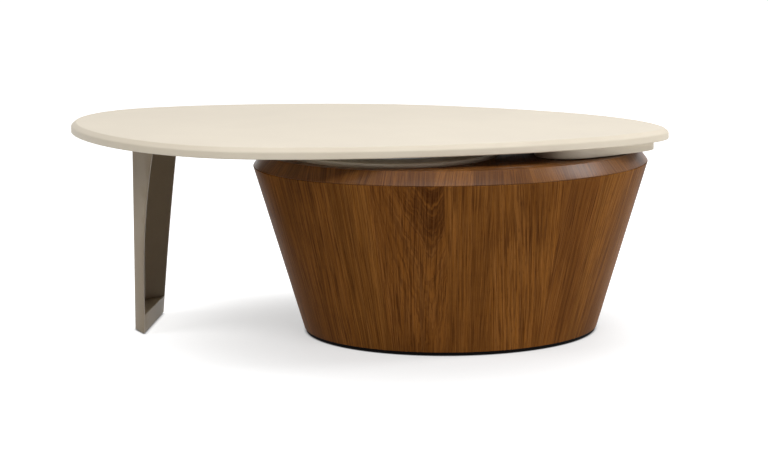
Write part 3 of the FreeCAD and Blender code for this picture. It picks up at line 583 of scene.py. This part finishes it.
def veneer(name, tones, leaf_width, leaf_start, slant_reach, seed):
    """Lacquered veneer in leaves: pale and dark seasons, thin lines, dashes, fibres, clouds and pores."""
    finish, tree, shader = blank_finish(name, Specular_IOR_Level=tones["gloss"])
    patterns, chance = veneer_patterns(tree, leaf_width, leaf_start, slant_reach, seed)

    def by_heart(plain, at_heart):
        return spread(tree, patterns["heart"], 0, 1, plain, at_heart)

    pale = spread(tree, patterns["season"], *PALE_RANGE, 0, PALE_SHARE)
    tone = blend_colours(tree, pale, tones["middle"], tones["light"])
    season_band = spread(tree, patterns["season"], by_heart(*BAND_STARTS), by_heart(*BAND_FULLS))
    band = sum_of(tree, "MULTIPLY", season_band, by_heart(*BAND_SHARES))
    tone = blend_colours(tree, band, tone, tones["dark"])
    line = sum_of(tree, "MULTIPLY", thin_lines(tree, patterns["line"], LINE_WIDTH), by_heart(*LINE_SHARES))
    tone = blend_colours(tree, line, tone, tones["dark"])
    dash = spread(tree, patterns["dash"], *DASH_RANGE, 0, DASH_SHARE)
    tone = blend_colours(tree, dash, tone, tones["dark"])
    fibre = spread(tree, patterns["fibre"], *FIBRE_RANGE, 0, FIBRE_SHARE)
    tone = blend_colours(tree, fibre, tone, tones["light"])
    cloud = spread(tree, patterns["cloud"], *CLOUD_RANGE, 0, CLOUD_SHARE)
    tone = blend_colours(tree, cloud, tone, tones["dark"])
    hue = spread(tree, chance[1], 0, 1, *LEAF_HUES)
    brightness = spread(tree, chance[2], 0, 1, *LEAF_BRIGHTNESS)
    leaf_change = {"Hue": hue, "Value": brightness, "Color": tone}
    tone = put(tree, "ShaderNodeHueSaturation", leaf_change).outputs[0]
    pores = spread(tree, patterns["pore"], *PORE_RANGE)
    tone = blend_colours(tree, sum_of(tree, "MULTIPLY", pores, PORE_SHARE), tone, tones["pore"])
    tree.links.new(tone, shader.inputs["Base Color"])
    tree.links.new(spread(tree, patterns["fibre"], *NOISE_MOST, *tones["rough"]), shader.inputs["Roughness"])
    relief = sum_of(tree, "SUBTRACT", patterns["fibre"], pores)
    raise_surface(tree, shader, relief, GRAIN_DEPTH, GRAIN_STRENGTH)
    return finish


print("veneer recipe ready")

# %% [markdown]
# ## The oval drum
# The drum's wall and rim are rings that follow one rule: an oval that grows from the floor to the rim.
# They could be lofted by hand, ring by ring. A Geometry Nodes tree does it from a drawn section instead:
# each point of the section says how far it lies inside the drum's skin and how high, and the tree carries
# it round the oval.

# %% Helpers for trees of Geometry Nodes
def blank_tree(name, inputs, output):
    """A tree with named inputs of given kinds and one output of geometry, and the inputs to wire from."""
    tree = bpy.data.node_groups.new(name, "GeometryNodeTree")
    for socket, kind in inputs.items():
        tree.interface.new_socket(socket, in_out="INPUT", socket_type="NodeSocket" + kind)
    tree.interface.new_socket(output, in_out="OUTPUT", socket_type="NodeSocketGeometry")
    return tree, put(tree, "NodeGroupInput").outputs


def end_tree(tree, shape, finish):
    """Turns instances into real geometry, gives it its finish and hands it out."""
    whole = put(tree, "GeometryNodeRealizeInstances", {"Geometry": shape})
    coated = put(tree, "GeometryNodeSetMaterial", {"Geometry": whole.outputs[0], "Material": finish})
    put(tree, "NodeGroupOutput", {0: coated.outputs[0]})


def carry_inputs(holder, tree, values):
    """A Geometry Nodes modifier with its inputs set by the sockets' identifiers."""
    modifier = holder.modifiers.new(tree.name, "NODES")
    modifier.node_group = tree
    for socket in tree.interface.items_tree:
        if socket.in_out == "INPUT" and socket.name in values:
            modifier[socket.identifier] = values[socket.name]


def plain_mesh(source):
    """The evaluated shape of an object as a plain mesh; the object itself is thrown away."""
    shown = source.evaluated_get(bpy.context.evaluated_depsgraph_get())
    mesh = bpy.data.meshes.new_from_object(shown)
    bpy.data.objects.remove(source)
    return mesh


print("tree helpers ready")

# %% A tree that carries a section round the oval
RING_INPUTS = {
    "Section": "Geometry",
    "Low Length": "Float",
    "Low Depth": "Float",
    "Low Height": "Float",
    "High Length": "Float",
    "High Depth": "Float",
    "High Height": "Float",
    "Turn": "Float",
    "Girth": "Float",
    "Middle": "Vector",
    "Segments": "Int",
    "Finish": "Material",
}
SHEET_HALF = (0.5, 0.5, 0)


def oval_ring_tree():
    """Bends a flat sheet, one row for each point of the section, round an oval and closes it."""
    tree, given = blank_tree("Oval ring", RING_INPUTS, "Ring")
    rows = put(tree, "GeometryNodeAttributeDomainSize", {0: given["Section"]}).outputs["Point Count"]
    columns = sum_of(tree, "ADD", given["Segments"], 1)
    sheet = put(tree, "GeometryNodeMeshGrid", {"Vertices X": columns, "Vertices Y": rows})
    spot = put(tree, "GeometryNodeInputPosition").outputs[0]
    from_corner = put(tree, "ShaderNodeVectorMath", {0: spot, 1: SHEET_HALF}).outputs[0]
    share_round, share_up, _ = put(tree, "ShaderNodeSeparateXYZ", {0: from_corner}).outputs
    row = sum_of(tree, "ROUND", sum_of(tree, "MULTIPLY", share_up, sum_of(tree, "SUBTRACT", rows, 1)))
    drawn = put(tree, "GeometryNodeSampleIndex", {"Geometry": given["Section"]}, data_type="FLOAT_VECTOR")
    tree.links.new(spot, drawn.inputs["Value"])
    tree.links.new(row, drawn.inputs["Index"])
    inset, run, height = put(tree, "ShaderNodeSeparateXYZ", {0: drawn.outputs[0]}).outputs
    angle = sum_of(tree, "MULTIPLY", share_round, 2 * math.pi)

    def half_size(low, high):
        whole = spread(tree, height, given["Low Height"], given["High Height"], given[low], given[high])
        return sum_of(tree, "SUBTRACT", sum_of(tree, "DIVIDE", whole, 2), inset)

    along = sum_of(tree, "MULTIPLY", half_size("Low Length", "High Length"), sum_of(tree, "COSINE", angle))
    across = sum_of(tree, "MULTIPLY", half_size("Low Depth", "High Depth"), sum_of(tree, "SINE", angle))
    upright = put(tree, "ShaderNodeCombineXYZ", {0: along, 1: across, 2: height}).outputs[0]
    swung = {"Vector": upright, "Angle": given["Turn"]}
    turned = put(tree, "ShaderNodeVectorRotate", swung, rotation_type="Z_AXIS").outputs[0]
    placed = put(tree, "ShaderNodeVectorMath", {0: turned, 1: given["Middle"]}).outputs[0]
    girth_run = sum_of(tree, "MULTIPLY", share_round, given["Girth"])
    unrolled = put(tree, "ShaderNodeCombineXYZ", {0: girth_run, 1: run}).outputs[0]
    stored = {"Geometry": sheet.outputs["Mesh"], "Name": VENEER_MAP}
    mapped = put(tree, "GeometryNodeStoreNamedAttribute", stored, data_type="FLOAT2", domain="CORNER")
    tree.links.new(unrolled, mapped.inputs["Value"])
    bent = put(tree, "GeometryNodeSetPosition", {"Geometry": mapped.outputs[0], "Position": placed})
    seam = {"Geometry": bent.outputs[0], "Distance": LEVEL_TOLERANCE}
    closed = put(tree, "GeometryNodeMergeByDistance", seam).outputs[0]
    end_tree(tree, closed, given["Finish"])
    return tree


OVAL_RING = oval_ring_tree()
print("tree", OVAL_RING.name, "has", len(OVAL_RING.nodes), "nodes")

# %% Ovals of the drum, measured on the frame
DRUM_TURN = math.radians(21)
DRUM_MIDDLE = Vector((0.1725, -0.003, 0))
DRUM_SEGMENTS = 288


def oval_size(node, height):
    """Length and depth of a node at one height, along the drum's own axes."""
    unturn = Matrix.Rotation(-DRUM_TURN, 2)
    spots = [unturn @ (spot - DRUM_MIDDLE.xy) for spot in points_at(node, height)]
    return [2 * max(abs(spot[axis]) for spot in spots) for axis in (0, 1)]


wall_low, wall_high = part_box("drum_wall")
rim_low, rim_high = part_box("drum_rim")
deck_low, deck_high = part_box("drum_deck")
base_oval = oval_size("drum_wall", wall_low.z)
rim_oval = oval_size("drum_rim", rim_low.z)
rim_top_oval = oval_size("drum_rim", rim_high.z)
deck_oval = oval_size("drum_deck", deck_high.z)
DRUM_GIRTH = math.pi * (sum(base_oval) + sum(rim_oval)) / 4
print("drum at the floor", base_oval, "and at the rim", rim_oval)

# %% Wall of the drum
DRUM_WALL = 0.018
DRUM_ARRIS = 0.0012
WALL_ROWS = 12
LEAF_COUNT = 20
FIRST_LEAF_SHARE = -0.88
WALL_SLANT = 0.12
WALL_SEED = 11
WALL_TONES = {
    "dark": (0.046, 0.012, 0.0015, 1),
    "middle": (0.212, 0.077, 0.0125, 1),
    "light": (0.33, 0.142, 0.04, 1),
    "pore": (0.035, 0.012, 0.003, 1),
    "gloss": 0.02,
    "rough": (0.4, 0.5),
}

WALL_VENEER = veneer(
    "wall_veneer", WALL_TONES, DRUM_GIRTH / LEAF_COUNT, FIRST_LEAF_SHARE, WALL_SLANT, WALL_SEED)


def oval_ring(section, finish):
    """Carries a closed section of (inset, height) points round the drum's oval."""
    loop = list(section) + [section[0]]
    run = 0.0
    corners = []
    for place, point in enumerate(loop):
        run += (point - loop[place - 1]).length if place else 0.0
        corners.append((point.x, run, point.y))
    mesh = bpy.data.meshes.new("section")
    mesh.from_pydata(corners, [(place, place + 1) for place in range(len(corners) - 1)], [])
    holder = bpy.data.objects.new("section", mesh)
    scene.collection.objects.link(holder)
    carry_inputs(holder, OVAL_RING, {
        "Low Length": base_oval[0], "Low Depth": base_oval[1], "Low Height": wall_low.z,
        "High Length": rim_oval[0], "High Depth": rim_oval[1], "High Height": wall_high.z,
        "Turn": DRUM_TURN, "Girth": DRUM_GIRTH, "Middle": DRUM_MIDDLE,
        "Segments": DRUM_SEGMENTS, "Finish": finish,
    })
    return plain_mesh(holder)


wall_rise = wall_high.z - wall_low.z
wall_skin = [Vector((0, wall_low.z + wall_rise * row / WALL_ROWS)) for row in range(WALL_ROWS + 1)]
wall_back = [Vector((DRUM_WALL, wall_high.z)), Vector((DRUM_WALL, wall_low.z))]
wall_radii = [DRUM_ARRIS] + [0] * (WALL_ROWS - 1) + [DRUM_ARRIS, 0, 0]
wall_section = soften(wall_skin + wall_back, wall_radii, closed=True)
wall_mesh = oval_ring(wall_section, WALL_VENEER)
finished_piece("drum_skin", wall_mesh, WALL_VENEER, "drum", "drum_wall")

# %% Rim of the drum
RIM_LEAF_COUNT = 26
RIM_SLANT = 0.3
RIM_SEED = 29
LEDGE_WIDTH = 0.020
RIM_TONES = {
    "dark": (0.05, 0.014, 0.002, 1),
    "middle": (0.19, 0.07, 0.0135, 1),
    "light": (0.30, 0.13, 0.04, 1),
    "pore": (0.04, 0.013, 0.003, 1),
    "gloss": 0.16,
    "rough": (0.28, 0.34),
}

RIM_VENEER = veneer(
    "rim_veneer", RIM_TONES, DRUM_GIRTH / RIM_LEAF_COUNT, FIRST_LEAF_SHARE, RIM_SLANT, RIM_SEED)
rim_bevel = (rim_oval[0] - rim_top_oval[0]) / 2
rim_bore = (rim_oval[0] - deck_oval[0]) / 2
rim_corners = [
    Vector((0, rim_low.z)),
    Vector((rim_bevel, rim_high.z)),
    Vector((rim_bore, rim_high.z)),
    Vector((rim_bore, deck_low.z)),
    Vector((rim_bore + LEDGE_WIDTH, deck_low.z)),
    Vector((rim_bore + LEDGE_WIDTH, rim_low.z)),
]
rim_section = soften(rim_corners, [DRUM_ARRIS, DRUM_ARRIS, DRUM_ARRIS, 0, 0, 0], closed=True)
rim_mesh = oval_ring(rim_section, RIM_VENEER)
finished_piece("rim_ring", rim_mesh, RIM_VENEER, "drum", "drum_rim")

# %% [markdown]
# ## The deck inside the rim
# Inside the bevelled rim lies a flat veneered board with holes for the swivel, and its edges are eased.
# A bevel modifier would do it too. Here the frame's own board is merged and its sharp edges are rounded, so
# that every hole stays in its place, and the grain is laid flat over it.

# %% Deck, as a softened copy of the frame's own piece
SOFT_STEPS = 2
SOFT_FROM = math.radians(35)
FLAT_ANGLE = math.radians(0.5)
ROUND_PROFILE = 0.5
DECK_SOFTNESS = 0.0006


def softened_copy(node, radius):
    """A copy of a node with its loose corners merged and its sharp edges rounded."""
    shape = bmesh.new()
    shape.from_mesh(frame["nodes"][node].data)
    bmesh.ops.remove_doubles(shape, verts=shape.verts, dist=LEVEL_TOLERANCE)
    bmesh.ops.dissolve_limit(shape, angle_limit=FLAT_ANGLE, verts=shape.verts, edges=shape.edges)
    sharp = [edge for edge in shape.edges if edge.is_manifold and edge.calc_face_angle() > SOFT_FROM]
    bmesh.ops.bevel(
        shape, geom=sharp, offset=radius, segments=SOFT_STEPS, profile=ROUND_PROFILE, affect="EDGES",
        clamp_overlap=True)
    mesh = bpy.data.meshes.new(node)
    shape.to_mesh(mesh)
    shape.free()
    return mesh


def lay_grain_flat(mesh):
    """Maps the veneer straight down on a board, with the grain from front to back."""
    unroll = mesh.uv_layers.new(name=VENEER_MAP)
    for corner in mesh.loops:
        place = mesh.vertices[corner.vertex_index].co
        unroll.data[corner.index].uv = (place.x, place.y)


deck_mesh = softened_copy("drum_deck", DECK_SOFTNESS)
lay_grain_flat(deck_mesh)
finished_piece("deck_board", deck_mesh, RIM_VENEER, "drum", "drum_deck")

# %% [markdown]
# ## The sliding block and the disc
# Both are sprayed board like the top, with edges eased so that the lacquer holds on them.
# They could be drawn again from their outlines. The frame has them already, with their holes, so they are
# softened copies like the deck.

# %% Block and disc with eased edges
BOARD_SOFTNESS = 0.0012

for node, body in {"support_block": "top", "swivel_disc": "drum"}.items():
    finished_piece("soft_" + node, softened_copy(node, BOARD_SOFTNESS), CREAM, body, node)

# %% [markdown]
# ## Bronze powder coat
# The leg is folded from one steel sheet and powder coated in a warm grey bronze.
# A plain colour would look like card. Powder coat is satin with a fine pebbled skin, which a little noise in
# tone, gloss and relief gives.

# %% Bronze powder coat finish
BRONZE_DARK = (0.27, 0.212, 0.143, 1)
BRONZE_LIGHT = (0.35, 0.28, 0.195, 1)
BRONZE_PATCH = (0.288, 0.23, 0.158, 1)
BRONZE_GLOSS = 0.18
BRONZE_ROUGH = (0.4, 0.5)
BRONZE_PATCH_SCALE = 9.0
BRONZE_PATCH_SHARE = 0.2
PEBBLE_SCALE = 1400.0
PEBBLE_RANGE = (0.35, 0.7)
PEBBLE_DEPTH = 0.00005
PEBBLE_STRENGTH = 0.4


def bronze_paint():
    """Satin bronze with fine pebbles and a slow drift of tone."""
    finish, tree, shader = blank_finish("bronze_paint_finish", Specular_IOR_Level=BRONZE_GLOSS)
    where = put(tree, "ShaderNodeTexCoord").outputs["Object"]
    pebble = grain_noise(tree, where, PEBBLE_SCALE)
    drift = grain_noise(tree, where, BRONZE_PATCH_SCALE)
    tone = blend_colours(tree, spread(tree, pebble, *PEBBLE_RANGE), BRONZE_DARK, BRONZE_LIGHT)
    patch_share = spread(tree, drift, *NOISE_CORE, 0, BRONZE_PATCH_SHARE)
    tree.links.new(blend_colours(tree, patch_share, tone, BRONZE_PATCH), shader.inputs["Base Color"])
    tree.links.new(spread(tree, pebble, *NOISE_CORE, *BRONZE_ROUGH), shader.inputs["Roughness"])
    raise_surface(tree, shader, pebble, PEBBLE_DEPTH, PEBBLE_STRENGTH)
    return finish


BRONZE = bronze_paint()
print("made", BRONZE.name)

# %% [markdown]
# ## The folded leg
# The leg is a folded sheet with a box foot and a top plate, and powder coat runs over every edge.
# A thick sheet could be drawn flat and bent. The frame has it bent already, so only its edges are rounded.

# %% Leg with rounded sheet edges
SHEET_SOFTNESS = 0.0007
LEG_NODES = ("leg_shell", "leg_foot", "leg_base_plate", "leg_top_plate")

for node in LEG_NODES:
    finished_piece("soft_" + node, softened_copy(node, SHEET_SOFTNESS), BRONZE, "top", node)

# %% [markdown]
# ## Finishes of the pieces inside and underneath
# Most of these boards, steel fittings, brass inserts, nylon and felt pieces are only seen from below or with
# the top off, and the black plinth shows as a dark line under the drum. Its near-black board also stands in
# for the contact shadow there, so that line is partly painted shadow. They could be modelled again in more
# detail. Their shapes in the frame are right, so they keep them, and each gets the finish of its stuff from
# one recipe.

# %% One recipe for plain finishes
FLECK_DETAIL = 3.0
FLECK_ROUGHNESS = 0.6
FLECK_STRENGTH = 0.5


def speckled(name, first, second, scales, rough, relief, **sockets):
    """A finish of two tones mixed by stretched noise, with gloss and relief from the same noise."""
    finish, tree, shader = blank_finish(name, **sockets)
    where = put(tree, "ShaderNodeTexCoord").outputs["Object"]
    fleck = stretched_noise(tree, where, scales, FLECK_DETAIL, FLECK_ROUGHNESS)
    tone = blend_colours(tree, spread(tree, fleck, *NOISE_CORE), first, second)
    tree.links.new(tone, shader.inputs["Base Color"])
    tree.links.new(spread(tree, fleck, *NOISE_CORE, *rough), shader.inputs["Roughness"])
    raise_surface(tree, shader, fleck, relief, FLECK_STRENGTH)
    return finish


print("recipe for plain finishes ready")

# %% Finishes given to the frame's nodes
PLAIN_STUFF = {
    # The black board is the plinth's black stain, made near black so that it also stands in for the contact
    # shadow under the drum: partly painted shadow.
    "black_board": {
        "first": (0.003, 0.0025, 0.0025, 1), "second": (0.007, 0.006, 0.006, 1),
        "scales": (30, 500, 500), "rough": (0.6, 0.75), "relief": 0.00008, "Specular_IOR_Level": 0.05,
    },
    "plain_board": {
        "first": (0.42, 0.27, 0.14, 1), "second": (0.56, 0.40, 0.24, 1),
        "scales": (18, 350, 420), "rough": (0.55, 0.7), "relief": 0.00015, "Specular_IOR_Level": 0.25,
    },
    "zinc_steel": {
        "first": (0.48, 0.49, 0.51, 1), "second": (0.62, 0.63, 0.64, 1),
        "scales": (500, 500, 500), "rough": (0.28, 0.42), "relief": 0.00003, "Metallic": 1.0,
    },
    "brass": {
        "first": (0.62, 0.43, 0.17, 1), "second": (0.75, 0.55, 0.26, 1),
        "scales": (400, 400, 1200), "rough": (0.24, 0.36), "relief": 0.00003, "Metallic": 1.0,
    },
    "white_nylon": {
        "first": (0.72, 0.70, 0.64, 1), "second": (0.80, 0.78, 0.73, 1),
        "scales": (260, 260, 260), "rough": (0.4, 0.5), "relief": 0.00004, "Specular_IOR_Level": 0.4,
    },
    "black_nylon": {
        "first": (0.018, 0.018, 0.018, 1), "second": (0.034, 0.034, 0.035, 1),
        "scales": (420, 420, 420), "rough": (0.45, 0.6), "relief": 0.00005, "Specular_IOR_Level": 0.35,
    },
    "grey_felt": {
        "first": (0.13, 0.125, 0.11, 1), "second": (0.25, 0.24, 0.215, 1),
        "scales": (900, 1300, 1300), "rough": (0.9, 1.0), "relief": 0.0004, "Sheen_Weight": 0.4,
    },
}

STUFF = {"cream_lacquer": CREAM, "bronze_paint": BRONZE, "walnut_veneer": WALL_VENEER}
for slot_name, recipe in PLAIN_STUFF.items():
    STUFF[slot_name] = speckled(slot_name + "_finish", **recipe)
for subpart in frame["record"]["subparts"]:
    for material_slot in frame["nodes"][subpart["node"]].material_slots:
        material_slot.material = STUFF[subpart["material_slot"]]

# %% [markdown]
# ## Screws seen from below
# The leg, the block and the plinth are held by screws whose heads face the floor, with a cross for the
# driver. One screw could be drawn and copied by hand. A Geometry Nodes tree makes it from its sizes, cuts
# the cross, and sets one on each place that the frame has a screw, each turned by chance as a hand leaves it.

# %% A tree that makes cross-head screws
SCREW_INPUTS = {
    "Places": "Geometry",
    "Head Width": "Float",
    "Neck Width": "Float",
    "Head Height": "Float",
    "Shank Width": "Float",
    "Length": "Float",
    "Drive Width": "Float",
    "Drive Depth": "Float",
    "Finish": "Material",
}
SCREW_SIDES = 40
SLOT_SHARE = 0.24
TURN_SEED = 7


def screw_tree():
    """A cone for the head and a cylinder for the shank, joined, crossed, and set on every place."""
    tree, given = blank_tree("Cross-head screws", SCREW_INPUTS, "Screws")

    def half(size):
        return sum_of(tree, "DIVIDE", given[size], 2)

    head = put(tree, "GeometryNodeMeshCone", {
        "Vertices": SCREW_SIDES, "Radius Bottom": half("Head Width"), "Radius Top": half("Neck Width"),
        "Depth": given["Head Height"],
    })
    shank_length = sum_of(tree, "SUBTRACT", given["Length"], half("Head Height"))
    shank = put(tree, "GeometryNodeMeshCylinder", {
        "Vertices": SCREW_SIDES, "Radius": half("Shank Width"), "Depth": shank_length,
    })
    shank_middle = sum_of(tree, "ADD", half("Length"), sum_of(tree, "DIVIDE", half("Head Height"), 2))
    raised_by = put(tree, "ShaderNodeCombineXYZ", {2: shank_middle}).outputs[0]
    raised = put(tree, "GeometryNodeTransform", {"Geometry": shank.outputs["Mesh"], "Translation": raised_by})
    joined = put(tree, "GeometryNodeMeshBoolean", operation="UNION", solver="EXACT")
    for solid in (head.outputs["Mesh"], raised.outputs[0]):
        tree.links.new(solid, joined.inputs[1])
    slot_width = sum_of(tree, "MULTIPLY", given["Drive Width"], SLOT_SHARE)
    slot_height = sum_of(tree, "MULTIPLY", given["Drive Depth"], 2)
    uncut = {0: joined.outputs[0]}
    crossed = put(tree, "GeometryNodeMeshBoolean", uncut, operation="DIFFERENCE", solver="EXACT")
    for width, depth in ((given["Drive Width"], slot_width), (slot_width, given["Drive Width"])):
        size = put(tree, "ShaderNodeCombineXYZ", {0: width, 1: depth, 2: slot_height}).outputs[0]
        tree.links.new(put(tree, "GeometryNodeMeshCube", {"Size": size}).outputs["Mesh"], crossed.inputs[1])
    turn_range = {0: (0, 0, 0), 1: (0, 0, math.pi), "Seed": TURN_SEED}
    turn = put(tree, "FunctionNodeRandomValue", turn_range, data_type="FLOAT_VECTOR")
    placed = put(tree, "GeometryNodeInstanceOnPoints", {
        "Points": given["Places"], "Instance": crossed.outputs[0], "Rotation": turn.outputs[0],
    })
    end_tree(tree, placed.outputs[0], given["Finish"])
    return tree


SCREWS = screw_tree()
print("tree", SCREWS.name, "has", len(SCREWS.nodes), "nodes")

# %% Where the frame has its screws
def separate_boxes(node):
    """The lowest and the highest corner of each separate piece in a node."""
    shape = bmesh.new()
    shape.from_mesh(frame["nodes"][node].data)
    bmesh.ops.remove_doubles(shape, verts=shape.verts, dist=LEVEL_TOLERANCE)
    found = []
    for start in shape.verts:
        if start.tag:
            continue
        start.tag = True
        island = [start]
        for corner in island:
            joined = [edge.other_vert(corner) for edge in corner.link_edges]
            fresh = [other for other in joined if not other.tag]
            for other in fresh:
                other.tag = True
            island += fresh
        sides = [[corner.co[axis] for corner in island] for axis in range(3)]
        found.append((Vector(map(min, sides)), Vector(map(max, sides))))
    shape.free()
    return found


print("leg screws in the frame:", len(separate_boxes("leg_screws")))

# %% Screws on their places
DRIVE_SHARE = 0.55
DRIVE_DEPTH_SHARE = 0.75
SCREW_KINDS = {
    "leg_screws": {"body": "top", "head": 0.011, "neck": 0.011, "height": 0.0033, "shank": 0.006},
    "block_screws": {"body": "top", "head": 0.010, "neck": 0.005, "height": 0.0025, "shank": 0.005},
    "plinth_screws": {"body": "drum", "head": 0.008, "neck": 0.004, "height": 0.002, "shank": 0.004},
}

for node, kind in SCREW_KINDS.items():
    screw_boxes = separate_boxes(node)
    first_low, first_high = screw_boxes[0]
    spots = [((low.x + high.x) / 2, (low.y + high.y) / 2, low.z) for low, high in screw_boxes]
    place_mesh = bpy.data.meshes.new("places")
    place_mesh.from_pydata(spots, [], [])
    places = bpy.data.objects.new("places", place_mesh)
    scene.collection.objects.link(places)
    carry_inputs(places, SCREWS, {
        "Head Width": kind["head"], "Neck Width": kind["neck"], "Head Height": kind["height"],
        "Shank Width": kind["shank"], "Length": first_high.z - first_low.z,
        "Drive Width": kind["head"] * DRIVE_SHARE, "Drive Depth": kind["height"] * DRIVE_DEPTH_SHARE,
        "Finish": STUFF["zinc_steel"],
    })
    screw_mesh = plain_mesh(places)
    finished_piece("crossed_" + node, screw_mesh, STUFF["zinc_steel"], kind["body"], node)
